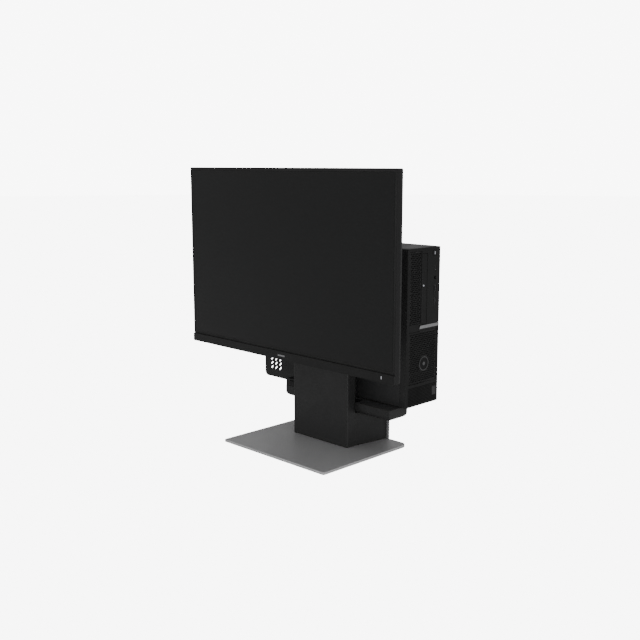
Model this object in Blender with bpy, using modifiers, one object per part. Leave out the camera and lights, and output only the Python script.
"""A small desktop PC carried behind a monitor on one all-in-one stand.

Metres, +Z up. X is the width of the screen, -Y is the side that the user sits on.
The origin is on the table, under the middle of the whole object.
The PC stands on its edge behind the screen, with its front bezel facing +X.
"""

import math

import bmesh
import bpy
from mathutils import Matrix, Vector

# ---------------------------------------------------------------- driving dimensions
GAP = 0.0003                      # clearance between pieces that touch

# base and column
BASE_HALF_WIDTH = 0.136
BASE_FRONT = -0.1345
BASE_BACK = 0.095
BASE_BOTTOM = 0.0015
FOOT_X = 0.116
BASE_TOP = 0.0065
COLUMN_HALF_WIDTH = 0.073
COLUMN_FRONT = -0.008
COLUMN_SEAM = 0.014               # where the front cover ends and the rear parts begin
COLUMN_TOP = 0.408
FLARE_HALF_WIDTH = 0.084          # the lower housing is wider at its back
WALL = 0.0022

# PC, an upright box with its bezel at +X
PC_FRONT = 0.172
PC_REAR = -0.1208
PC_LEFT = 0.0415                  # the side next to the screen
PC_RIGHT = 0.1345
PC_BOTTOM = 0.0925
PC_TOP = 0.3845
BEZEL_DEPTH = 0.0142
SHEET = 0.0012

# cradle under the PC
TRAY_LEFT = -0.117
TRAY_RIGHT = 0.159
TRAY_FRONT = 0.012
TRAY_BOTTOM = 0.071
TRAY_TOP = PC_BOTTOM - GAP

# monitor
SCREEN_Y = -0.102
SCREEN_HALF_WIDTH = 0.266
SCREEN_BOTTOM = 0.1795
SCREEN_TOP = 0.5265
SCREEN_EDGE = 0.010               # thickness of the screen at its rim
SCREEN_BACK = -0.056              # back of the rear cover's raised middle
CHIN = 0.0162                     # height of the lower bezel
CHIN_PROUD = 0.002

# head: swivel, tilt and portrait axes all meet the head's height
HEAD_Z = (SCREEN_BOTTOM + SCREEN_TOP) / 2
SWIVEL_Y = -0.0195
TILT_Y = -0.0355
LIFT_TRAVEL = 0.100

# optical drive, upright in the PC's front
DRIVE_LEFT = 0.0843
DRIVE_RIGHT = 0.0972
DRIVE_BOTTOM = 0.2438
DRIVE_TOP = 0.3732

# small pieces of the base, column and cradle
TRAY_CORNER = 0.009               # radius of the tray's lower edges
SCREW_PLACES = [(x, y) for x in (-0.035, 0.035) for y in (0.040, 0.062)]
RISER_HALF_WIDTH = 0.0525
RISER_FRONT = 0.002
RISER_BACK = 0.029
RISER_SHEET = 0.003
HOUSING_BACK = 0.0922
CABLE_SLOTS = [((x - 0.022, 0.08, 0.034), (x + 0.022, 0.11, 0.044)) for x in (-0.045, 0.045)]

# release block on the tray's left arm
LATCH_LEFT, LATCH_RIGHT = TRAY_LEFT + 0.0006, -0.0745
LATCH_TOP = 0.1070
RELEASE_X, RELEASE_Z = -0.0960, 0.0995
RELEASE_HALF_WIDTH, RELEASE_HALF_HEIGHT = 0.0093, 0.0038

# cable cover and its slanted slots
COVER_LEFT = -0.2125
COVER_WALL = 0.0022
SLOT_FIRST_X, SLOT_FIRST_Z = COVER_LEFT + 0.0215, 0.113
SLOT_PITCH_X, SLOT_PITCH_Z = 0.0126, 0.0090
SLOT_LEAN = math.radians(43)
SLOT_WIDTH, SLOT_LENGTH = 0.0031, 0.0086

# lift
NECK_HALF_HEIGHT = 0.0183
CARRIAGE_HALF_HEIGHT = 0.035
CARRIAGE_FRONT, CARRIAGE_BACK = 0.0045, 0.0220
SPRING_WIDTH = 0.030
SPRING_Y = 0.0140
SPRING_Z = 0.3985
SPRING_TURNS = 3
SPRING_INNER, SPRING_PITCH, SPRING_STRIP = 0.0028, 0.00080, 0.00042

# head
PIVOT_Y = -0.048                  # back of the portrait bearing's plate
VESA_HALF_PITCH = 0.050
EAR_HALF_HEIGHT = 0.0085
AXLE_HOLE = 0.0033
PIN_HOLE = 0.0043

# monitor details
LED_X, LED_Z = 0.2385, SCREEN_BOTTOM + 0.0085
KEY_PITCH = 0.0135
KEY_PLACES = [LED_X - KEY_PITCH * i for i in range(3)]
KEY_NAMES = ["screen_power_key", "menu_key_1", "menu_key_2"]
BULGE_HALF_WIDTH = 0.150
BULGE_BOTTOM = SCREEN_BOTTOM + 0.030
BULGE_TOP = SCREEN_TOP - 0.070
BULGE_SLOPE = 0.022
SHELL_WALL = 0.0022
STAND_RELEASE_Z = HEAD_Z - 0.070

# PC case
CHASSIS_FRONT = PC_FRONT - BEZEL_DEPTH - GAP
CHASSIS_BOTTOM = PC_BOTTOM + SHEET + GAP
CHASSIS_TOP = PC_TOP - SHEET - GAP
COVER_LATCH_LOW, COVER_LATCH_HIGH = 0.222, 0.246

# PC bezel
PORT_Y = PC_LEFT + 0.0790
POWER_Y, POWER_Z = PC_LEFT + 0.0770, PC_BOTTOM + 0.2805
POWER_RADIUS = 0.0062
AUDIO_Z = PC_BOTTOM + 0.2345
USB_C_Z = PC_BOTTOM + 0.2520
USB_Z = (PC_BOTTOM + 0.2150, PC_BOTTOM + 0.1900)
STRIP_LOW, STRIP_HIGH = PC_BOTTOM + 0.1435, PC_BOTTOM + 0.1500
STRIP_LEFT = PC_LEFT + 0.0345
STRIP_SLANT = 0.0035
BADGE_Y, BADGE_Z, BADGE_RADIUS = PC_LEFT + 0.0505, PC_BOTTOM + 0.0775, 0.0130
TAG_LEFT, TAG_WIDTH = PC_LEFT + 0.0765, 0.0110
TAG_LOW, TAG_HEIGHT = PC_BOTTOM + 0.0130, 0.0165
TAG_DEPTH = 0.0008

# inside the PC
DRIVE_BACK = 0.0255
DRIVE_FRONT = CHASSIS_FRONT + 0.0020
DRIVE_MIDDLE = (DRIVE_LEFT + DRIVE_RIGHT) / 2
EJECT_Y, EJECT_Z = DRIVE_LEFT + 0.0036, PC_BOTTOM + 0.2227
HEATSINK_CENTRE = (-0.052, 0.290)
HEATSINK_HALF = 0.040
FAN_Y = 0.0995
FAN_RADIUS, FAN_HUB, FAN_DEPTH = 0.0355, 0.0120, 0.0140
BLADE_LEAN = math.radians(38)
PSU_LOW, PSU_HIGH = 0.0985, 0.1640
PSU_REAR, PSU_FRONT = PC_REAR + SHEET + GAP, 0.0300
PSU_FAN_CENTRE = (PSU_REAR + 0.0075, 0.0735, 0.1310)
INLET_LEFT, INLET_RIGHT = 0.1010, 0.1240
INLET_LOW, INLET_HIGH = 0.1190, 0.1470

AXES = {"x": 0, "y": 1, "z": 2}

MATERIALS = {
    # name: colour, roughness, metallic
    "silver_paint": ((0.26, 0.26, 0.27), 0.42, 0.6),
    "black_plastic": ((0.018, 0.018, 0.018), 0.55, 0.0),
    "bezel_plastic": ((0.010, 0.010, 0.010), 0.50, 0.0),
    "black_steel": ((0.012, 0.012, 0.012), 0.45, 0.2),
    "steel": ((0.45, 0.45, 0.46), 0.35, 1.0),
    "spring_steel": ((0.30, 0.31, 0.33), 0.30, 1.0),
    "screen": ((0.018, 0.018, 0.018), 0.30, 0.0),
    "rubber": ((0.02, 0.02, 0.02), 0.90, 0.0),
    "board_green": ((0.02, 0.10, 0.05), 0.50, 0.0),
    "aluminium": ((0.62, 0.63, 0.65), 0.35, 1.0),
    "light": ((0.85, 0.87, 0.90), 0.30, 0.0),
    "accent": ((0.34, 0.34, 0.34), 0.35, 0.5),
    "connector": ((0.05, 0.05, 0.06), 0.45, 0.0),
}

for old in list(bpy.data.objects):
    bpy.data.objects.remove(old)

PARTS = bpy.data.collections.new("mini_pc")
CUTTERS = bpy.data.collections.new("cutters")
for collection in (PARTS, CUTTERS):
    bpy.context.scene.collection.children.link(collection)


# ---------------------------------------------------------------- modelling tools
def make_materials():
    """One Principled material for each named finish."""
    for name, (colour, roughness, metallic) in MATERIALS.items():
        material = bpy.data.materials.new(name)
        material.use_nodes = True
        shader = material.node_tree.nodes["Principled BSDF"]
        shader.inputs["Base Color"].default_value = (*colour, 1)
        shader.inputs["Roughness"].default_value = roughness
        shader.inputs["Metallic"].default_value = metallic


def finish(name, bm, material=None):
    """Turns a bmesh into an object: a part with a material, or a cutter without one."""
    mesh = bpy.data.meshes.new(name)
    bm.to_mesh(mesh)
    bm.free()
    mesh.shade_smooth()
    mesh.set_sharp_from_angle(angle=math.radians(30))
    piece = bpy.data.objects.new(name, mesh)
    if material:
        mesh.materials.append(bpy.data.materials[material])
        PARTS.objects.link(piece)
    else:
        piece.hide_render = True
        piece.display_type = "WIRE"
        CUTTERS.objects.link(piece)
    return piece


def add_box(bm, low, high):
    """Adds an axis-aligned box and returns its vertices."""
    low, high = Vector(low), Vector(high)
    size = high - low
    place = Matrix.Translation((low + high) / 2) @ Matrix.Diagonal((*size, 1))
    return bmesh.ops.create_cube(bm, size=1, matrix=place)["verts"]


def add_rod(bm, centre, axis, length, radius, sides=24):
    """Adds a cylinder centred on centre along axis."""
    turn = {"x": Matrix.Rotation(math.pi / 2, 4, "Y"),
            "y": Matrix.Rotation(-math.pi / 2, 4, "X"),
            "z": Matrix.Identity(4)}[axis]
    place = Matrix.Translation(centre) @ turn
    bmesh.ops.create_cone(bm, cap_ends=True, segments=sides, radius1=radius,
                          radius2=radius, depth=length, matrix=place)


def round_edges(bm, axes, radius, steps=3, where=None):
    """Rounds the edges that run along any of axes. where(midpoint) picks some of them."""
    picked = []
    for edge in bm.edges:
        a, b = edge.verts[0].co, edge.verts[1].co
        along = any(abs(abs((b - a)[AXES[k]]) - (b - a).length) < 1e-6 for k in axes)
        if along and (where is None or where((a + b) / 2)):
            picked.append(edge)
    bmesh.ops.bevel(bm, geom=picked, offset=radius, segments=steps, profile=0.5,
                    affect="EDGES", clamp_overlap=True)


def box(name, low, high, material=None, axis=None, radius=0.0, steps=3, where=None):
    """A box, with its edges along axis rounded if a radius is given."""
    bm = bmesh.new()
    add_box(bm, low, high)
    if radius:
        round_edges(bm, axis, radius, steps, where)
    return finish(name, bm, material)


def boxes(name, corners, material=None):
    """Several separate boxes as one object. corners is a list of (low, high)."""
    bm = bmesh.new()
    for low, high in corners:
        add_box(bm, low, high)
    return finish(name, bm, material)


def rod(name, centre, axis, length, radius, material=None, sides=24):
    bm = bmesh.new()
    add_rod(bm, centre, axis, length, radius, sides)
    return finish(name, bm, material)


def shifted_box(name, low, high, shift, material=None):
    """A box whose corners are each moved by shift(corner): wedges and tapered blocks."""
    bm = bmesh.new()
    for vertex in add_box(bm, low, high):
        vertex.co += Vector(shift(vertex.co))
    return finish(name, bm, material)


def boolean(piece, tool, operation):
    modifier = piece.modifiers.new(tool.name, "BOOLEAN")
    modifier.operation = operation
    modifier.object = tool
    modifier.solver = "EXACT"
    modifier.use_self = operation == "UNION"


def cut(piece, *tools):
    for tool in tools:
        boolean(piece, tool, "DIFFERENCE")
    return piece


def join(piece, *tools):
    for tool in tools:
        boolean(piece, tool, "UNION")
    return piece


# ---------------------------------------------------------------- base
def base_plate():
    """Flat steel plate: small front corners, larger rear ones, and four screw holes."""
    bm = bmesh.new()
    add_box(bm, (-BASE_HALF_WIDTH, BASE_FRONT, BASE_BOTTOM),
            (BASE_HALF_WIDTH, BASE_BACK, BASE_TOP))
    round_edges(bm, "z", 0.004, 3, lambda m: m.y < 0)
    round_edges(bm, "z", 0.016, 5, lambda m: m.y > 0)
    plate = finish("base_plate", bm, "silver_paint")
    bm = bmesh.new()
    for x, y in SCREW_PLACES:
        add_rod(bm, (x, y, BASE_BOTTOM), "z", 0.02, 0.0026, 16)
        add_rod(bm, (x, y, BASE_BOTTOM), "z", 0.0046, 0.0052, 16)
    cut(plate, finish("base_screw_holes", bm))
    return plate


def base_feet():
    """Four rubber pads under the plate's corners."""
    height = BASE_BOTTOM - GAP
    front, back = BASE_FRONT + 0.020, BASE_BACK - 0.022
    places = [(x, y) for y in (front, back) for x in (-FOOT_X, FOOT_X)]
    for number, (x, y) in enumerate(places):
        rod(f"base_foot_{number + 1}", (x, y, height / 2), "z", height, 0.009, "rubber", 20)


# ---------------------------------------------------------------- column
def riser_frame():
    """Steel channel, open to the front, with a foot that is screwed to the plate."""
    low = BASE_TOP + GAP
    frame = box("riser_frame", (-RISER_HALF_WIDTH, RISER_FRONT, low),
                (RISER_HALF_WIDTH, RISER_BACK, COLUMN_TOP - 0.004), "steel")
    inner = RISER_HALF_WIDTH - RISER_SHEET
    cut(frame, box("riser_channel", (-inner, RISER_FRONT - 0.01, low - 0.01),
                   (inner, RISER_BACK - RISER_SHEET, COLUMN_TOP)))
    join(frame, box("riser_foot", (-0.048, RISER_BACK - RISER_SHEET, low),
                    (0.048, 0.074, low + 0.003)))
    holes = bmesh.new()
    for x, y in SCREW_PLACES:
        add_rod(holes, (x, y, low), "z", 0.02, 0.0021, 12)
    cut(frame, finish("riser_foot_holes", holes))


def column_cover():
    """Front cover of the column: front wall, two sides and a closed top.
    A slot lets the head's neck travel up and down."""
    low = BASE_TOP + GAP
    bm = bmesh.new()
    add_box(bm, (-COLUMN_HALF_WIDTH, COLUMN_FRONT, low),
            (COLUMN_HALF_WIDTH, COLUMN_SEAM, COLUMN_TOP))
    round_edges(bm, "z", 0.003, 3, lambda m: m.y < 0)
    cover = finish("column_cover", bm, "black_plastic")
    inner = COLUMN_HALF_WIDTH - WALL
    cut(cover, box("column_hollow", (-inner, COLUMN_FRONT + WALL, low - 0.01),
                   (inner, COLUMN_SEAM + 0.01, COLUMN_TOP - WALL)))
    neck = NECK_HALF_HEIGHT + 0.004
    cut(cover, box("head_slot", (-0.015, COLUMN_FRONT - 0.01, HEAD_Z - LIFT_TRAVEL - neck),
                   (0.015, COLUMN_FRONT + 0.006, HEAD_Z + neck), None, "y", 0.004, 3))


def spine_cover():
    """Black channel behind the riser, from the cradle to the column's top."""
    half = 0.0560
    front, back = COLUMN_SEAM + GAP, 0.0352
    spine = box("spine_cover", (-half, front, TRAY_TOP + GAP), (half, back, COLUMN_TOP),
                "black_plastic", "z", 0.003, 2, lambda m: m.y > 0.03)
    cut(spine, box("spine_hollow", (-half + 0.0017, front - 0.01, 0.05),
                   (half - 0.0017, back - 0.002, COLUMN_TOP - WALL)))


def lower_housing():
    """Shell around the foot of the riser. Its sides flare outwards to the back."""
    low, high = BASE_TOP + GAP, TRAY_BOTTOM - GAP
    front, back = COLUMN_SEAM + GAP, HOUSING_BACK
    flare = FLARE_HALF_WIDTH - COLUMN_HALF_WIDTH

    def spread(corner):
        return (math.copysign(flare, corner.x) if corner.y > HOUSING_BACK / 2 else 0, 0, 0)

    shell = shifted_box("lower_housing", (-COLUMN_HALF_WIDTH, front, low),
                        (COLUMN_HALF_WIDTH, back, high), spread, "black_plastic")
    inner = COLUMN_HALF_WIDTH - WALL
    cut(shell, shifted_box("lower_hollow", (-inner, front - WALL, low - 0.01),
                           (inner, back - WALL, high - WALL), spread))
    cut(shell, box("riser_notch", (-0.054, front - 0.01, high - 0.01),
                   (0.054, 0.031, high + 0.01)))
    cut(shell, boxes("housing_cable_slots", CABLE_SLOTS))


def rear_panel():
    """Silver panel that closes the lower housing at the back."""
    half = FLARE_HALF_WIDTH + 0.005
    panel = box("rear_panel", (-half, HOUSING_BACK + GAP, BASE_TOP + GAP),
                (half, BASE_BACK, TRAY_BOTTOM - GAP), "silver_paint", "y", 0.006, 3,
                lambda m: m.z > TRAY_BOTTOM / 2)
    cut(panel, boxes("panel_cable_slots", CABLE_SLOTS))


# ---------------------------------------------------------------- cradle
def cradle_tray():
    """Shelf under the PC. It forks around the column and has soft lower edges."""
    bm = bmesh.new()
    add_box(bm, (TRAY_LEFT, TRAY_FRONT, TRAY_BOTTOM), (TRAY_RIGHT, 0.063, TRAY_TOP))
    lowest = TRAY_BOTTOM + 0.001
    round_edges(bm, "xy", TRAY_CORNER, 4, lambda m: m.z < lowest)
    tray = finish("cradle_tray", bm, "black_plastic")
    join(tray, box("tray_tongue", (-0.086, 0.050, TRAY_BOTTOM), (0.086, BASE_BACK, TRAY_TOP),
                   None, "z", 0.006, 3, lambda m: m.y > 0.06))
    notch = COLUMN_HALF_WIDTH + 0.0005
    cut(tray, box("column_notch", (-notch, TRAY_FRONT - 0.01, TRAY_BOTTOM - 0.01),
                  (notch, 0.0355, TRAY_TOP + 0.01)))
    ribs = [((x, 0.050, TRAY_BOTTOM - 0.01), (x + 0.020, 0.082, TRAY_TOP - 0.004))
            for x in (-0.068, -0.044, -0.010, 0.024, 0.048)]
    cut(tray, boxes("tray_lightening", ribs))


def cradle_back():
    """Steel plate between the column and the PC, with a slot that guides the PC's side."""
    plate = box("cradle_back", (-0.100, 0.0357, PC_BOTTOM + 0.001), (0.045, 0.0395, 0.330),
                "black_steel", "y", 0.010, 3)
    windows = [((-0.085, 0.03, z), (-0.065, 0.05, z + 0.055)) for z in (0.125, 0.195, 0.265)]
    cut(plate, boxes("cradle_windows", windows))


def latch_housing():
    """Raised block on the tray's left arm. It holds the button that frees the PC."""
    block = box("latch_housing", (LATCH_LEFT, TRAY_FRONT + 0.0005, PC_BOTTOM),
                (LATCH_RIGHT, 0.0352, LATCH_TOP), "black_plastic", "y", 0.003, 3,
                lambda m: m.z > 0.1 and m.x < -0.1)
    x, z = RELEASE_HALF_WIDTH + 0.0005, RELEASE_HALF_HEIGHT + 0.0005
    cut(block, box("release_pocket", (RELEASE_X - x, TRAY_FRONT - 0.01, RELEASE_Z - z),
                   (RELEASE_X + x, TRAY_FRONT + 0.0100, RELEASE_Z + z)))


def pc_release_button():
    """Button that is pushed in to let the PC slide out."""
    x, z = RELEASE_HALF_WIDTH, RELEASE_HALF_HEIGHT
    box("pc_release_button", (RELEASE_X - x, TRAY_FRONT - 0.0010, RELEASE_Z - z),
        (RELEASE_X + x, TRAY_FRONT + 0.0055, RELEASE_Z + z), "bezel_plastic", "y", 0.0015, 2)


def cable_cover():
    """Sleeve over the PC's rear ports, open to the left for the cables.
    Slanted slots near its left end let the fan's air out."""
    right = PC_REAR - GAP - 0.0005
    bm = bmesh.new()
    add_box(bm, (COVER_LEFT, PC_LEFT, PC_BOTTOM), (right, PC_RIGHT, PC_TOP))
    round_edges(bm, "y", 0.009, 3, lambda m: m.x < -0.2)
    sleeve = finish("cable_cover", bm, "black_plastic")
    wall = COVER_WALL
    cut(sleeve, box("cable_space", (COVER_LEFT - 0.02, PC_LEFT + wall, PC_BOTTOM + wall),
                    (right + 0.01, PC_RIGHT - wall, PC_TOP - wall)))
    bm = bmesh.new()
    for column in range(3):
        for row in range(3):
            add_slot(bm, SLOT_FIRST_X + SLOT_PITCH_X * column, SLOT_FIRST_Z + SLOT_PITCH_Z * row)
    cut(sleeve, finish("cover_slots", bm))


def add_slot(bm, x, z):
    """A slanted vent slot through the cover's screen-side wall."""
    lean = Matrix.Translation((x, PC_LEFT, z)) @ Matrix.Rotation(SLOT_LEAN, 4, "Y")
    size = Matrix.Diagonal((SLOT_WIDTH, 0.012, SLOT_LENGTH, 1))
    bmesh.ops.create_cube(bm, size=1, matrix=lean @ size)


# ---------------------------------------------------------------- lift
def carriage():
    """Block with four guide shoes that runs in the riser.
    Its neck ends in two lugs for the swivel pin."""
    half = CARRIAGE_HALF_HEIGHT
    block = box("carriage", (-0.040, CARRIAGE_FRONT, HEAD_Z - half),
                (0.040, CARRIAGE_BACK, HEAD_Z + half), "aluminium", "y", 0.004, 2)
    neck = NECK_HALF_HEIGHT
    join(block, box("carriage_neck", (-0.011, SWIVEL_Y - 0.0085, HEAD_Z - neck),
                    (0.011, 0.010, HEAD_Z + neck), None, "z", 0.0080, 4, lambda m: m.y < -0.02))
    for side in (-1, 1):
        for z in (HEAD_Z - 0.030, HEAD_Z + 0.016):
            x = sorted((side * 0.0390, side * 0.0492))
            join(block, box("slide_shoe", (x[0], 0.0065, z), (x[1], 0.0200, z + 0.014)))
    cut(block, box("yoke_room", (-0.02, SWIVEL_Y - 0.02, HEAD_Z - 0.0133),
                   (0.02, COLUMN_FRONT - 0.0005, HEAD_Z + 0.0133)))
    cut(block, rod("swivel_hole", (0, SWIVEL_Y, HEAD_Z), "z", 0.06, PIN_HOLE, None, 20))


def lift_spring():
    """Constant-force spring: a steel strip coiled round its axle, above the carriage."""
    steps = 18 * SPRING_TURNS
    bm = bmesh.new()
    strip = []
    for step in range(steps + 1):
        turn = SPRING_TURNS * step / steps
        radius, angle = SPRING_INNER + SPRING_PITCH * turn, 2 * math.pi * turn
        strip.append(bm.verts.new((-SPRING_WIDTH / 2, SPRING_Y + radius * math.cos(angle),
                                   SPRING_Z + radius * math.sin(angle))))
    edges = [bm.edges.new(pair) for pair in zip(strip, strip[1:])]
    added = bmesh.ops.extrude_edge_only(bm, edges=edges)["geom"]
    moved = [v for v in added if isinstance(v, bmesh.types.BMVert)]
    bmesh.ops.translate(bm, vec=(SPRING_WIDTH, 0, 0), verts=moved)
    spring = finish("lift_spring", bm, "spring_steel")
    sheet = spring.modifiers.new("strip", "SOLIDIFY")
    sheet.thickness = SPRING_STRIP
    sheet.offset = 0


def spring_axle():
    """Axle that carries the spring, held between the riser's flanges."""
    rod("spring_axle", (0, SPRING_Y, SPRING_Z), "x",
        2 * (RISER_HALF_WIDTH - RISER_SHEET - GAP), 0.0020, "steel", 16)


# ---------------------------------------------------------------- head
def swivel_pin():
    pin = rod("swivel_pin", (0, SWIVEL_Y, HEAD_Z), "z", 0.040, 0.0040, "steel", 20)
    join(pin, rod("swivel_pin_head", (0, SWIVEL_Y, HEAD_Z + 0.0206), "z", 0.0032, 0.0068, None, 20))


def swivel_yoke():
    """Barrel round the swivel pin, with two ears that hold the tilt axle."""
    yoke = rod("swivel_yoke", (0, SWIVEL_Y, HEAD_Z), "z", 0.0260, 0.0085, "black_steel", 28)
    join(yoke, box("yoke_web", (-0.025, -0.0300, HEAD_Z - 0.0125),
                   (0.025, -0.0245, HEAD_Z + 0.0125)))
    for side in (-1, 1):
        x = sorted((side * 0.0200, side * 0.0250))
        ear = box("yoke_ear", (x[0], TILT_Y - 0.0080, HEAD_Z - EAR_HALF_HEIGHT),
                  (x[1], -0.0260, HEAD_Z + EAR_HALF_HEIGHT), None, "x", 0.0075, 4, lambda m: m.y < -0.04)
        join(yoke, ear)
    cut(yoke, rod("yoke_pin_hole", (0, SWIVEL_Y, HEAD_Z), "z", 0.05, PIN_HOLE, None, 20))
    cut(yoke, rod("yoke_axle_hole", (0, TILT_Y, HEAD_Z), "x", 0.08, AXLE_HOLE, None, 16))


def tilt_bolt():
    """Bolt through the ears, with the nut that sets the tilt's friction."""
    bolt = rod("tilt_bolt", (0.0008, TILT_Y, HEAD_Z), "x", 0.0696, 0.0030, "steel", 16)
    join(bolt, rod("tilt_bolt_head", (0.0372, TILT_Y, HEAD_Z), "x", 0.0032, 0.0055, None, 16))
    join(bolt, rod("tilt_bolt_nut", (-0.0330, TILT_Y, HEAD_Z), "x", 0.0040, 0.0056, None, 6))


def tilt_bracket():
    """Plate that carries the portrait bearing, with two ears on the tilt axle."""
    front, back = -0.0497, -0.0470
    bracket = box("tilt_bracket", (-0.0340, front, HEAD_Z - 0.030), (0.0340, back, HEAD_Z + 0.030),
                  "black_steel", "y", 0.006, 3)
    for side in (-1, 1):
        x = sorted((side * 0.0255, side * 0.0305))
        ear = box("bracket_ear", (x[0], back - 0.001, HEAD_Z - EAR_HALF_HEIGHT),
                  (x[1], TILT_Y + EAR_HALF_HEIGHT, HEAD_Z + EAR_HALF_HEIGHT), None, "x", 0.0075, 4,
                  lambda m: m.y > TILT_Y)
        join(bracket, ear)
    cut(bracket, rod("bracket_axle_hole", (0, TILT_Y, HEAD_Z), "x", 0.08, AXLE_HOLE, None, 16))
    cut(bracket, rod("bracket_stud_hole", (0, PIVOT_Y, HEAD_Z), "y", 0.012, 0.0083, None, 28))


def pivot_disc():
    """Disc and stud that let the screen turn to portrait, with the stud's retaining rim."""
    disc = rod("pivot_disc", (0, -0.05135, HEAD_Z), "y", 0.0027, 0.028, "steel", 40)
    join(disc, rod("pivot_stud", (0, -0.0475, HEAD_Z), "y", 0.0070, 0.0080, None, 28))
    join(disc, rod("pivot_rim", (0, -0.0453, HEAD_Z), "y", 0.0022, 0.0125, None, 28))


def vesa_plate():
    """Plate on the monitor's back, with four screw holes 100 mm apart."""
    half = 0.0585
    plate = box("vesa_plate", (-half, -0.0556, HEAD_Z - half), (half, -0.0530, HEAD_Z + half),
                "black_steel", "y", 0.006, 3)
    bm = bmesh.new()
    for x in (-VESA_HALF_PITCH, VESA_HALF_PITCH):
        for z in (-VESA_HALF_PITCH, VESA_HALF_PITCH):
            add_rod(bm, (x, -0.054, HEAD_Z + z), "y", 0.02, 0.0024, 16)
    cut(plate, finish("vesa_holes", bm))


# ---------------------------------------------------------------- monitor
def screen_frame():
    """Thin frame round the screen, with a taller and slightly proud lower bezel."""
    half, y = SCREEN_HALF_WIDTH, SCREEN_Y
    bm = bmesh.new()
    add_box(bm, (-half, y, SCREEN_BOTTOM), (half, y + SCREEN_EDGE, SCREEN_TOP))
    round_edges(bm, "y", 0.0025, 2)
    frame = finish("screen_frame", bm, "black_plastic")
    rim = 0.0012
    cut(frame, box("screen_opening", (-half + rim, y - 0.01, SCREEN_BOTTOM + CHIN),
                   (half - rim, y + 0.02, SCREEN_TOP - rim)))
    hollow = 0.0016
    cut(frame, box("chin_hollow", (-half + hollow, y + 0.0020, SCREEN_BOTTOM + hollow),
                   (half - hollow, y + 0.02, SCREEN_BOTTOM + CHIN - hollow)))
    chin = box("chin_front", (-half - 0.0002, y - CHIN_PROUD, SCREEN_BOTTOM + 0.0004),
               (half + 0.0002, y + 0.0012, SCREEN_BOTTOM + CHIN - 0.0004), None, "y", 0.0020, 2)
    join(frame, chin)
    keys = [((x - 0.0036, y + 0.0028, SCREEN_BOTTOM - 0.01),
             (x + 0.0036, y + 0.0072, SCREEN_BOTTOM + 0.006)) for x in KEY_PLACES]
    cut(frame, boxes("key_holes", keys))
    cut(frame, box("led_hole", (LED_X - 0.0011, y - 0.01, LED_Z - 0.0028),
                   (LED_X + 0.0011, y + 0.01, LED_Z + 0.0028)))


def screen_keys():
    """Power key and two menu keys, under the lower bezel's right end."""
    for name, x in zip(KEY_NAMES, KEY_PLACES):
        box(name, (x - 0.0032, SCREEN_Y + 0.0032, SCREEN_BOTTOM - 0.0008),
            (x + 0.0032, SCREEN_Y + 0.0068, SCREEN_BOTTOM + 0.0055),
            "bezel_plastic", "y", 0.0006, 2, lambda m: m.z < SCREEN_BOTTOM)


def screen_led():
    box("screen_led", (LED_X - 0.0008, SCREEN_Y - CHIN_PROUD + 0.0001, LED_Z - 0.0025),
        (LED_X + 0.0008, SCREEN_Y + 0.0014, LED_Z + 0.0025), "light")


def lcd_panel():
    """Display module: cell and backlight, set just behind the frame's rim."""
    half = SCREEN_HALF_WIDTH - 0.0016
    box("lcd_panel", (-half, SCREEN_Y + 0.0004, SCREEN_BOTTOM + CHIN + 0.0004),
        (half, SCREEN_Y + 0.0068, SCREEN_TOP - 0.0016), "screen")


def panel_tray():
    """Pressed steel back of the panel, with stiffening ribs."""
    half = SCREEN_HALF_WIDTH - 0.0045
    low, high = SCREEN_BOTTOM + CHIN + 0.0020, SCREEN_TOP - 0.0045
    tray = box("panel_tray", (-half, SCREEN_Y + 0.0072, low),
               (half, SCREEN_Y + 0.0084, high), "steel")
    ribs = [((x - 0.004, SCREEN_Y + 0.0080, low + 0.03), (x + 0.004, SCREEN_Y + 0.0096, high - 0.03))
            for x in (-0.20, -0.10, 0.10, 0.20)]
    join(tray, boxes("panel_ribs", ribs))


def rear_cover():
    """Rear shell of the monitor: a flat rim and a raised middle with sloping sides."""
    half, rim = SCREEN_HALF_WIDTH, SCREEN_Y + SCREEN_EDGE + GAP
    bm = bmesh.new()
    add_box(bm, (-half, rim, SCREEN_BOTTOM), (half, rim + 0.0035, SCREEN_TOP))
    round_edges(bm, "y", 0.0025, 2)
    shell = finish("screen_rear_cover", bm, "black_plastic")
    join(shell, bulge("rear_bulge", rim + 0.0010, SCREEN_BACK, 0.0))
    cut(shell, bulge("rear_hollow", rim - 0.0010, SCREEN_BACK - SHELL_WALL, SHELL_WALL))
    bm = bmesh.new()
    for row in range(5):
        for x in (-0.105, -0.065, -0.025, 0.015, 0.055):
            z = BULGE_TOP - 0.030 - 0.0065 * row
            add_box(bm, (x, SCREEN_BACK - 0.004, z), (x + 0.032, SCREEN_BACK + 0.01, z + 0.0026))
    cut(shell, finish("rear_vents", bm))
    holes = bmesh.new()
    for x in (-VESA_HALF_PITCH, VESA_HALF_PITCH):
        for z in (-VESA_HALF_PITCH, VESA_HALF_PITCH):
            add_rod(holes, (x, SCREEN_BACK, HEAD_Z + z), "y", 0.02, 0.0023, 16)
    cut(shell, finish("rear_screw_holes", holes))
    cut(shell, box("port_window", (-0.060, SCREEN_Y + 0.0210, BULGE_BOTTOM - 0.005),
                   (0.060, SCREEN_Y + 0.0330, BULGE_BOTTOM + 0.025)))
    cut(shell, box("stand_release_pocket", (-0.0105, SCREEN_BACK - 0.010, STAND_RELEASE_Z - 0.0045),
                   (0.0105, SCREEN_BACK + 0.01, STAND_RELEASE_Z + 0.0050)))


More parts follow.
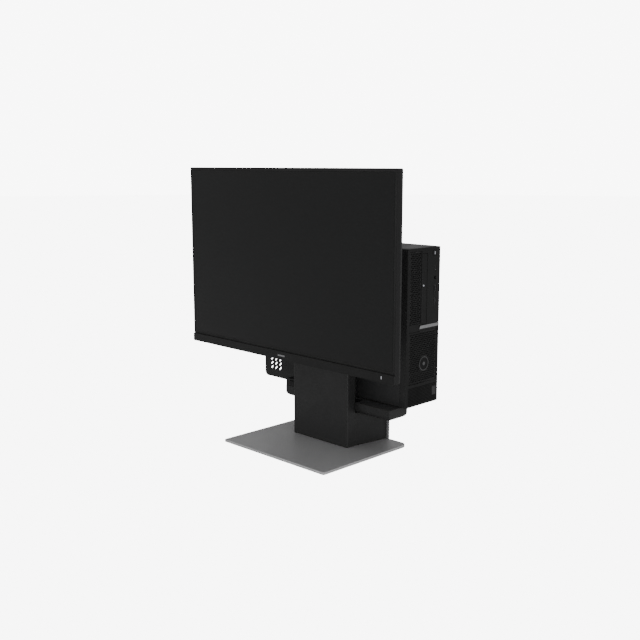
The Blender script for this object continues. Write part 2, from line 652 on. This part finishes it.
def bulge(name, near, far, inset):
    """The raised middle of the rear cover: a block whose far end is smaller."""
    middle = (BULGE_BOTTOM + BULGE_TOP) / 2

    def slope(corner):
        if corner.y < (near + far) / 2:
            return 0, 0, 0
        return (-math.copysign(BULGE_SLOPE, corner.x), 0,
                -math.copysign(BULGE_SLOPE, corner.z - middle))

    half = BULGE_HALF_WIDTH - inset
    return shifted_box(name, (-half, near, BULGE_BOTTOM + inset),
                       (half, far, BULGE_TOP - inset), slope)


def monitor_board():
    """Main board of the monitor with its video and power sockets facing down."""
    y = SCREEN_Y + 0.022
    board = box("monitor_board", (-0.070, y, BULGE_BOTTOM + 0.030),
                (0.070, y + 0.0016, BULGE_BOTTOM + 0.105), "board_green")
    sockets = [((x, y + 0.0010, BULGE_BOTTOM + 0.026), (x + w, y + 0.0090, BULGE_BOTTOM + 0.042))
               for x, w in ((-0.052, 0.022), (-0.022, 0.016), (0.002, 0.016), (0.026, 0.012))]
    join(board, boxes("monitor_sockets", sockets))


def stand_release_button():
    """Button under the mounting plate. It slides up to free the monitor."""
    box("stand_release_button", (-0.0100, SCREEN_BACK - 0.0045, STAND_RELEASE_Z - 0.0040),
        (0.0100, SCREEN_BACK + 0.0016, STAND_RELEASE_Z + 0.0020), "bezel_plastic", "y", 0.0012, 2)


# ---------------------------------------------------------------- PC case
def pc_chassis():
    """Folded steel tub, open on the cover's side, with windows for ports and air."""
    tub = box("pc_chassis", (PC_REAR, PC_LEFT, CHASSIS_BOTTOM),
              (CHASSIS_FRONT, PC_RIGHT - SHEET - 2 * GAP, CHASSIS_TOP), "black_steel")
    cut(tub, box("tub_inside", (PC_REAR + SHEET, PC_LEFT + SHEET, CHASSIS_BOTTOM + SHEET),
                 (CHASSIS_FRONT - SHEET, PC_RIGHT + 0.01, CHASSIS_TOP - SHEET)))
    inside, outside = CHASSIS_FRONT - 0.01, CHASSIS_FRONT + 0.01
    front = [((inside, DRIVE_LEFT - SHEET, DRIVE_BOTTOM - SHEET),
              (outside, DRIVE_RIGHT + SHEET, DRIVE_TOP + SHEET)),
             ((inside, 0.112, 0.262), (outside, 0.128, 0.378)),
             ((inside, 0.052, 0.150), (outside, 0.122, 0.225)),
             ((inside, 0.050, 0.250), (outside, 0.078, 0.370))]
    cut(tub, boxes("front_windows", front))
    rear = [((PC_REAR - 0.01, 0.0500, 0.2200), (PC_REAR + 0.01, 0.0850, 0.3720)),
            ((PC_REAR - 0.01, 0.0480, 0.1010), (PC_REAR + 0.01, 0.1250, 0.1580))]
    cut(tub, boxes("rear_windows", rear))
    bm = bmesh.new()
    for row in range(9):
        z = 0.226 + 0.0155 * row
        add_box(bm, (PC_REAR - 0.01, 0.0905, z), (PC_REAR + 0.01, 0.1245, z + 0.0085))
    cut(tub, finish("rear_vents_pc", bm))


def pc_cover():
    """Removable side cover, folded over the tub's top and bottom edges."""
    low, high = (PC_REAR, PC_LEFT + 0.0008, PC_BOTTOM), (CHASSIS_FRONT, PC_RIGHT, PC_TOP)
    cover = box("pc_cover", low, high, "black_steel", "x", 0.0008, 2)
    cut(cover, box("cover_inside", (PC_REAR - 0.01, PC_LEFT - 0.01, PC_BOTTOM + SHEET),
                   (CHASSIS_FRONT + 0.01, PC_RIGHT - SHEET, PC_TOP - SHEET)))
    cut(cover, box("cover_latch_slot", (PC_REAR + 0.010, PC_RIGHT - 0.01, COVER_LATCH_LOW),
                   (PC_REAR + 0.034, PC_RIGHT + 0.01, COVER_LATCH_HIGH)))


def cover_latch():
    """Sliding latch that frees the cover, in a window of the cover."""
    latch = box("cover_latch", (PC_REAR + 0.0105, PC_RIGHT - 0.0015, COVER_LATCH_LOW + 0.0005),
                (PC_REAR + 0.0265, PC_RIGHT - 0.0003, COVER_LATCH_HIGH - 0.0005), "bezel_plastic")
    grips = []
    for i in range(4):
        x = PC_REAR + 0.0125 + 0.003 * i
        grips.append(((x, PC_RIGHT - 0.0008, COVER_LATCH_LOW + 0.0035),
                      (x + 0.0013, PC_RIGHT + 0.01, COVER_LATCH_HIGH - 0.0035)))
    cut(latch, boxes("latch_grooves", grips))


# ---------------------------------------------------------------- PC bezel
def bezel_openings():
    """Windows in the bezel's face: grille fields, optical drive, ports and button."""
    back, front = PC_FRONT - 0.006, PC_FRONT + 0.01
    edge, strip_gap, around = 0.0060, 0.0035, 0.0005
    windows = [(PC_LEFT + edge, STRIP_HIGH + strip_gap, PC_LEFT + 0.0395, PC_TOP - edge),
               (PC_LEFT + edge, PC_BOTTOM + 0.0420, PC_RIGHT - edge, STRIP_LOW - strip_gap),
               (DRIVE_LEFT - around, DRIVE_BOTTOM - around, DRIVE_RIGHT + around, DRIVE_TOP + around),
               (PORT_Y - 0.0018, USB_C_Z - 0.0046, PORT_Y + 0.0018, USB_C_Z + 0.0046)]
    windows += [(PORT_Y - 0.0030, z - 0.0068, PORT_Y + 0.0030, z + 0.0068) for z in USB_Z]
    corners = [((back, left, low), (front, right, high)) for left, low, right, high in windows]
    return [boxes("bezel_windows", corners),
            rod("audio_hole", (PC_FRONT, PORT_Y, AUDIO_Z), "x", 0.02, 0.0031, None, 16),
            rod("power_hole", (PC_FRONT, POWER_Y, POWER_Z), "x", 0.02, POWER_RADIUS + 0.0004)]


def pc_bezel():
    """Front bezel: a moulded shell that is open at the back."""
    bm = bmesh.new()
    add_box(bm, (PC_FRONT - BEZEL_DEPTH, PC_LEFT, PC_BOTTOM), (PC_FRONT, PC_RIGHT, PC_TOP))
    round_edges(bm, "x", 0.0020, 2)
    bezel = finish("pc_bezel", bm, "bezel_plastic")
    wall = 0.0020
    cut(bezel, box("bezel_hollow", (PC_FRONT - BEZEL_DEPTH - 0.01, PC_LEFT + wall, PC_BOTTOM + wall),
                   (PC_FRONT - wall, PC_RIGHT - wall, PC_TOP - wall)))
    cut(bezel, *bezel_openings())
    cut(bezel, box("strip_seat", (PC_FRONT - 0.0011, STRIP_LEFT, STRIP_LOW),
                   (PC_FRONT + 0.01, PC_RIGHT + 0.01, STRIP_HIGH)))
    cut(bezel, box("tag_seat", (PC_FRONT - TAG_DEPTH, TAG_LEFT - GAP, TAG_LOW - GAP),
                   (PC_FRONT + 0.01, TAG_LEFT + TAG_WIDTH + GAP, TAG_LOW + TAG_HEIGHT + GAP)))


def bezel_tag():
    """Plain label plate set into the bezel's lower corner."""
    box("bezel_tag", (PC_FRONT - TAG_DEPTH + GAP, TAG_LEFT, TAG_LOW),
        (PC_FRONT + 0.0002, TAG_LEFT + TAG_WIDTH, TAG_LOW + TAG_HEIGHT), "black_plastic", "x", 0.0010, 2)


def bezel_grille(name, left, right, low, high, row_is_free):
    """One perforated field set into a window of the bezel, with coarse slots."""
    x0, x1 = PC_FRONT - 0.0022, PC_FRONT - 0.0004
    grille = box(name, (x0, left, low), (x1, right, high), "bezel_plastic")
    pitch, height, margin = 0.0105, 0.0062, 0.004
    bm = bmesh.new()
    for row in range(int((high - low - margin) / pitch)):
        z = low + margin + pitch * row
        if row_is_free(z + height / 2):
            add_box(bm, (x0 - 0.01, left + margin, z), (x1 + 0.01, right - margin, z + height))
    cut(grille, finish(name + "_slots", bm))
    return grille


def bezel_grilles():
    """The tall field above the strip, and the wide one below it with the badge's seat."""
    edge = 0.0063
    bezel_grille("bezel_grille_upper", PC_LEFT + edge, PC_LEFT + 0.0392, STRIP_HIGH + 0.0038,
                 PC_TOP - edge, lambda z: True)
    lower = bezel_grille("bezel_grille_lower", PC_LEFT + edge, PC_RIGHT - edge, PC_BOTTOM + 0.0423,
                         STRIP_LOW - 0.0038, lambda z: abs(z - BADGE_Z) > BADGE_RADIUS + 0.004)
    seat = rod("badge_seat", (PC_FRONT - 0.0004, BADGE_Y, BADGE_Z), "x", 0.0014,
               BADGE_RADIUS + GAP, None, 32)
    cut(lower, seat)


def bezel_badge():
    """Round badge with a plain raised rim and no mark."""
    back, front = PC_FRONT - 0.0009, PC_FRONT + 0.0002
    badge = rod("bezel_badge", ((back + front) / 2, BADGE_Y, BADGE_Z), "x", front - back,
                BADGE_RADIUS, "accent", 32)
    cut(badge, rod("badge_dish", (front, BADGE_Y, BADGE_Z), "x", 0.0008,
                   BADGE_RADIUS - 0.0016, None, 32))


def bezel_strip():
    """Bright accent strip across the bezel, cut on a slant at its inner end."""
    middle = (STRIP_LOW + STRIP_HIGH) / 2

    def slant(corner):
        cut_back = corner.z > middle and corner.y < BADGE_Y
        return (0, STRIP_SLANT if cut_back else 0, 0)

    shifted_box("bezel_strip", (PC_FRONT - 0.0008, STRIP_LEFT + GAP, STRIP_LOW + GAP),
                (PC_FRONT + 0.0004, PC_RIGHT - GAP, STRIP_HIGH - GAP), slant, "accent")


def pc_power_button():
    """Round button with a seat for its light."""
    button = rod("pc_power_button", (PC_FRONT - 0.0030, POWER_Y, POWER_Z), "x", 0.0064,
                 POWER_RADIUS, "bezel_plastic")
    cut(button, box("button_light_seat", (PC_FRONT - 0.0016, POWER_Y - 0.0011, POWER_Z - 0.0031),
                    (PC_FRONT + 0.01, POWER_Y + 0.0011, POWER_Z + 0.0031)))


def pc_power_light():
    box("pc_power_light", (PC_FRONT - 0.0013, POWER_Y - 0.0008, POWER_Z - 0.0028),
        (PC_FRONT + 0.0004, POWER_Y + 0.0008, POWER_Z + 0.0028), "light")


def front_ports():
    """Small board behind the bezel with its USB, USB-C and headset sockets."""
    back, front = PC_FRONT - 0.0200, PC_FRONT - 0.0006
    board = box("front_ports", (back, PORT_Y + 0.0045, PC_BOTTOM + 0.175),
                (PC_FRONT - 0.0040, PORT_Y + 0.0061, PC_BOTTOM + 0.262), "board_green")
    solids, hollows, feet = [], [], []
    for z in USB_Z:
        solids.append(((back + 0.002, PORT_Y - 0.0026, z - 0.0064), (front, PORT_Y + 0.0026, z + 0.0064)))
        hollows.append(((PC_FRONT - 0.012, PORT_Y - 0.0021, z - 0.0059),
                        (PC_FRONT, PORT_Y + 0.0012, z + 0.0059)))
    solids.append(((back + 0.002, PORT_Y - 0.0015, USB_C_Z - 0.0043),
                   (front, PORT_Y + 0.0015, USB_C_Z + 0.0043)))
    hollows.append(((PC_FRONT - 0.008, PORT_Y - 0.0010, USB_C_Z - 0.0038),
                    (PC_FRONT, PORT_Y + 0.0010, USB_C_Z + 0.0038)))
    for z in (*USB_Z, USB_C_Z, AUDIO_Z):
        feet.append(((back + 0.003, PORT_Y + 0.0010, z - 0.004),
                     (PC_FRONT - 0.0060, PORT_Y + 0.0050, z + 0.004)))
    join(board, boxes("socket_shells", solids))
    join(board, boxes("socket_feet", feet))
    join(board, rod("audio_shell", (PC_FRONT - 0.0093, PORT_Y, AUDIO_Z), "x", 0.0174, 0.0028, None, 16))
    cut(board, boxes("socket_hollows", hollows))
    cut(board, rod("audio_bore", (PC_FRONT - 0.0060, PORT_Y, AUDIO_Z), "x", 0.0130, 0.0018, None, 12))


# ---------------------------------------------------------------- optical drive
def drive_case():
    """Slim case of the optical drive, open at the front."""
    case = box("drive_case", (DRIVE_BACK, DRIVE_LEFT, DRIVE_BOTTOM),
               (DRIVE_FRONT, DRIVE_RIGHT, DRIVE_TOP), "steel")
    cut(case, box("drive_inside", (DRIVE_BACK + 0.001, DRIVE_LEFT + 0.0010, DRIVE_BOTTOM + 0.0010),
                  (DRIVE_FRONT + 0.01, DRIVE_RIGHT - 0.0010, DRIVE_TOP - 0.0010)))


def drive_tray():
    """Tray with a round recess for the disc, and the door that fills the bezel's window."""
    front = PC_FRONT - 0.0004
    middle = DRIVE_MIDDLE
    tray = box("drive_tray", (DRIVE_BACK + 0.004, middle - 0.0028, DRIVE_BOTTOM + 0.0025),
               (front - 0.001, middle + 0.0028, DRIVE_TOP - 0.0025), "bezel_plastic")
    join(tray, box("drive_door", (front - 0.0040, DRIVE_LEFT, DRIVE_BOTTOM),
                   (front, DRIVE_RIGHT, DRIVE_TOP)))
    centre = ((DRIVE_BACK + front) / 2, middle + 0.0028, (DRIVE_BOTTOM + DRIVE_TOP) / 2)
    cut(tray, rod("disc_recess", centre, "y", 0.0060, 0.0605, None, 48))
    cut(tray, box("eject_seat", (front - 0.0030, EJECT_Y - 0.0021, EJECT_Z - 0.0021),
                  (front + 0.01, EJECT_Y + 0.0021, EJECT_Z + 0.0021)))


def drive_eject_button():
    rod("drive_eject_button", (PC_FRONT - 0.0011, EJECT_Y, EJECT_Z), "x", 0.0018, 0.0017, "light", 14)


# ---------------------------------------------------------------- inside the PC
def motherboard():
    board = box("motherboard", (-0.1150, 0.0478, 0.1720), (0.0850, 0.0494, 0.3760), "board_green")
    lumps = [((-0.020, 0.049, 0.345), (0.045, 0.058, 0.352)),
             ((-0.020, 0.049, 0.356), (0.045, 0.058, 0.363)),
             ((0.050, 0.049, 0.250), (0.078, 0.053, 0.280)),
             ((-0.090, 0.049, 0.190), (-0.020, 0.060, 0.197)),
             ((0.060, 0.049, 0.300), (0.080, 0.062, 0.340))]
    join(board, boxes("board_parts", lumps))


def rear_ports():
    """Video, network, USB and audio sockets at the board's rear edge."""
    rear, front = PC_REAR + 0.0003, -0.1000
    sizes = [(0.0180, 0.0165), (0.0405, 0.0190), (0.0640, 0.0165), (0.0840, 0.0125),
             (0.0990, 0.0125), (0.1140, 0.0165), (0.1335, 0.0100)]
    shells, hollows = [], []
    for start, height in sizes:
        z = 0.2210 + start - 0.0150
        shells.append(((rear, 0.0520, z), (front, 0.0680, z + height)))
        hollows.append(((rear - 0.01, 0.0535, z + 0.0015), (rear + 0.0110, 0.0665, z + height - 0.0015)))
    ports = boxes("rear_ports", shells, "steel")
    join(ports, box("port_shield", (PC_REAR + SHEET + GAP, 0.0497, 0.2195),
                    (PC_REAR + SHEET + 0.0012, 0.0725, 0.3700)))
    cut(ports, boxes("rear_port_hollows", hollows))


def heatsink():
    """Finned block over the processor."""
    x, z = HEATSINK_CENTRE
    half = HEATSINK_HALF
    sink = box("heatsink", (x - half, 0.0500, z - half), (x + half, 0.0860, z + half), "aluminium")
    gaps = [((x - half - 0.01, 0.0560, z - half + 0.0030 + 0.0066 * i),
             (x + half + 0.01, 0.10, z - half + 0.0074 + 0.0066 * i)) for i in range(11)]
    cut(sink, boxes("fin_gaps", gaps))


def fan_frame():
    """Square frame of the processor's fan."""
    x, z = HEATSINK_CENTRE
    half = HEATSINK_HALF
    frame = box("fan_frame", (x - half, 0.0863, z - half), (x + half, 0.1100, z + half),
                "connector", "y", 0.004, 2)
    cut(frame, rod("fan_bore", (x, FAN_Y, z), "y", 0.05, 0.0375, None, 40))
    struts = boxes("fan_struts", [((x - 0.039, 0.0864, z - 0.0025), (x + 0.039, 0.0884, z + 0.0025)),
                                  ((x - 0.0025, 0.0864, z - 0.039), (x + 0.0025, 0.0884, z + 0.039))])
    join(frame, struts)
    join(frame, rod("fan_seat", (x, 0.0893, z), "y", 0.0058, 0.0110, None, 24))


def rotor(name, centre, axis, hub, tip, depth):
    """Hub with seven slanted blades, turning about axis."""
    wheel = rod(name, centre, axis, depth, hub, "connector")
    blades = 7
    sunk = 0.002                  # how far each blade's root reaches into the hub
    span = tip - hub + sunk
    reach = hub - sunk + span / 2
    thickness, chord = 0.0010, depth * 0.86
    if axis == "y":
        out, lean, size = (reach, 0, 0), "X", (span, chord, thickness, 1)
    else:
        out, lean, size = (0, reach, 0), "Y", (chord, span, thickness, 1)
    blade = Matrix.Translation(out) @ Matrix.Rotation(BLADE_LEAN, 4, lean) @ Matrix.Diagonal(size)
    bm = bmesh.new()
    for i in range(blades):
        about = Matrix.Rotation(2 * math.pi * i / blades, 4, axis.upper())
        bmesh.ops.create_cube(bm, size=1, matrix=Matrix.Translation(centre) @ about @ blade)
    join(wheel, finish(name + "_blades", bm))


def memory_module():
    """Memory stick above its socket on the board."""
    box("memory_module", (-0.018, 0.0583, 0.3470), (0.043, 0.0820, 0.3500), "board_green")


def drive_cage():
    """Folded plate that holds the optical drive and the hard drive."""
    low, high = DRIVE_BOTTOM - 0.0025, DRIVE_TOP + 0.0025
    cage = box("drive_cage", (0.004, DRIVE_LEFT, low), (0.150, 0.1300, high), "steel")
    cut(cage, box("cage_lower_bay", (-0.01, DRIVE_LEFT - 0.01, low + 0.0012),
                  (0.16, DRIVE_RIGHT + 0.0006, high - 0.0012)))
    cut(cage, box("cage_upper_bay", (-0.01, DRIVE_RIGHT + 0.0018, low + 0.0012),
                  (0.16, 0.14, high - 0.0012)))


def hard_drive():
    drive = box("hard_drive", (0.0075, 0.1010, 0.2560), (0.1490, 0.1270, 0.3600), "aluminium",
                "y", 0.003, 2)
    cut(drive, box("drive_label_step", (0.02, 0.1262, 0.268), (0.135, 0.14, 0.348)))


def psu_case():
    """Power supply, with a round fan well and a socket well in its rear face."""
    case = box("psu_case", (PSU_REAR, 0.0455, PSU_LOW), (PSU_FRONT, 0.1290, PSU_HIGH), "steel")
    _, y, z = PSU_FAN_CENTRE
    cut(case, rod("psu_fan_well", (PSU_REAR, y, z), "x", 0.0340, 0.0235, None, 32))
    join(case, rod("psu_fan_post", (PSU_REAR + 0.0150, y, z), "x", 0.0044, 0.0080, None, 20))
    cut(case, box("psu_socket_well", (PSU_REAR - 0.01, INLET_LEFT, INLET_LOW),
                  (PSU_REAR + 0.0190, INLET_RIGHT, INLET_HIGH)))
    slots = [((PSU_FRONT - 0.004, y, 0.108), (PSU_FRONT + 0.01, y + 0.0045, 0.154))
             for y in (0.060 + 0.009 * i for i in range(7))]
    cut(case, boxes("psu_air_slots", slots))


def ac_inlet():
    """Mains inlet with three pins, in the power supply's rear face."""
    inlet = box("ac_inlet", (PSU_REAR + 0.0003, INLET_LEFT + GAP, INLET_LOW + GAP),
                (PSU_REAR + 0.0185, INLET_RIGHT - GAP, INLET_HIGH - GAP), "connector")
    wall = 0.0025
    cut(inlet, box("inlet_hollow", (PSU_REAR - 0.01, INLET_LEFT + wall, INLET_LOW + wall),
                   (PSU_REAR + 0.0160, INLET_RIGHT - wall, INLET_HIGH - wall)))
    pins = [((PSU_REAR + 0.0050, y - 0.0010, z - 0.0020), (PSU_REAR + 0.0165, y + 0.0010, z + 0.0020))
            for y, z in ((0.1160, 0.1350), (0.1085, 0.1410), (0.1085, 0.1290))]
    join(inlet, boxes("inlet_pins", pins))


# ---------------------------------------------------------------- moving bodies
def joint_axes():
    """Each joint's name, the joint that carries it, a point on its axis, and its pieces."""
    fan_x, fan_z = HEATSINK_CENTRE
    pc_y = (PC_LEFT + PC_RIGHT) / 2
    pc_z = (PC_BOTTOM + PC_TOP) / 2
    latch_z = (COVER_LATCH_LOW + COVER_LATCH_HIGH) / 2
    head = ["pivot_disc", "vesa_plate", "screen_frame", "screen_led", "lcd_panel", "panel_tray",
            "screen_rear_cover", "monitor_board"]
    case = ["pc_chassis", "pc_bezel", "bezel_grille_upper", "bezel_grille_lower", "bezel_badge",
            "bezel_strip", "bezel_tag", "front_ports", "drive_case", "motherboard", "rear_ports",
            "heatsink", "fan_frame", "memory_module", "drive_cage", "hard_drive", "psu_case",
            "ac_inlet"]
    joints = [
        ("pc_release_press", None, (RELEASE_X, TRAY_FRONT, RELEASE_Z), ["pc_release_button"]),
        ("height_lift", None, (0, (CARRIAGE_FRONT + CARRIAGE_BACK) / 2, HEAD_Z),
         ["carriage", "swivel_pin"]),
        ("screen_swivel", "height_lift", (0, SWIVEL_Y, HEAD_Z), ["swivel_yoke", "tilt_bolt"]),
        ("screen_tilt", "screen_swivel", (0, TILT_Y, HEAD_Z), ["tilt_bracket"]),
        ("portrait_pivot", "screen_tilt", (0, PIVOT_Y, HEAD_Z), head),
        ("monitor_release_press", "portrait_pivot", (0, SCREEN_BACK, STAND_RELEASE_Z),
         ["stand_release_button"]),
        ("pc_slide_out", None, (0, pc_y, PC_BOTTOM), case),
        ("side_cover_off", "pc_slide_out", (0, PC_RIGHT, pc_z), ["pc_cover"]),
        ("side_latch_slide", "side_cover_off", (PC_REAR, PC_RIGHT, latch_z), ["cover_latch"]),
        ("cable_cover_off", "pc_slide_out", (PC_REAR, pc_y, pc_z), ["cable_cover"]),
        ("pc_power_press", "pc_slide_out", (PC_FRONT, POWER_Y, POWER_Z),
         ["pc_power_button", "pc_power_light"]),
        ("optical_tray_slide", "pc_slide_out",
         (PC_FRONT, DRIVE_MIDDLE, (DRIVE_BOTTOM + DRIVE_TOP) / 2), ["drive_tray"]),
        ("optical_eject_press", "optical_tray_slide", (PC_FRONT, EJECT_Y, EJECT_Z),
         ["drive_eject_button"]),
        ("cpu_fan_spin", "pc_slide_out", (fan_x, FAN_Y, fan_z), ["fan_rotor"]),
        ("psu_fan_spin", "pc_slide_out", PSU_FAN_CENTRE, ["psu_fan_rotor"]),
    ]
    for name, x in zip(KEY_NAMES, KEY_PLACES):
        joints.append((name + "_press", "portrait_pivot", (x, SCREEN_Y + 0.005, SCREEN_BOTTOM), [name]))
    return joints


def hold(child, parent):
    """Parents child to an empty without moving it."""
    child.parent = parent
    child.matrix_parent_inverse = Matrix.Translation(-parent.location)


def place_axes():
    """One empty on each joint's axis, with the moving pieces as its children."""
    empties = {}
    for name, carrier, point, pieces in joint_axes():
        empty = bpy.data.objects.new(name, None)
        empty.location = point
        empty.empty_display_size = 0.02
        PARTS.objects.link(empty)
        empties[name] = empty
        if carrier:
            hold(empty, empties[carrier])
        for piece in pieces:
            hold(bpy.data.objects[piece], empty)


def build():
    make_materials()
    base_plate()
    base_feet()
    riser_frame()
    column_cover()
    spine_cover()
    lower_housing()
    rear_panel()
    cradle_tray()
    cradle_back()
    latch_housing()
    pc_release_button()
    cable_cover()
    carriage()
    lift_spring()
    spring_axle()
    swivel_pin()
    swivel_yoke()
    tilt_bolt()
    tilt_bracket()
    pivot_disc()
    vesa_plate()
    screen_frame()
    screen_keys()
    screen_led()
    lcd_panel()
    panel_tray()
    rear_cover()
    monitor_board()
    stand_release_button()
    pc_chassis()
    pc_cover()
    cover_latch()
    pc_bezel()
    bezel_grilles()
    bezel_badge()
    bezel_strip()
    bezel_tag()
    pc_power_button()
    pc_power_light()
    front_ports()
    drive_case()
    drive_tray()
    drive_eject_button()
    motherboard()
    rear_ports()
    heatsink()
    fan_frame()
    rotor("fan_rotor", (HEATSINK_CENTRE[0], FAN_Y, HEATSINK_CENTRE[1]), "y", FAN_HUB, FAN_RADIUS, FAN_DEPTH)
    memory_module()
    drive_cage()
    hard_drive()
    psu_case()
    rotor("psu_fan_rotor", PSU_FAN_CENTRE, "x", 0.0085, 0.0215, 0.0100)
    ac_inlet()
    place_axes()


build()
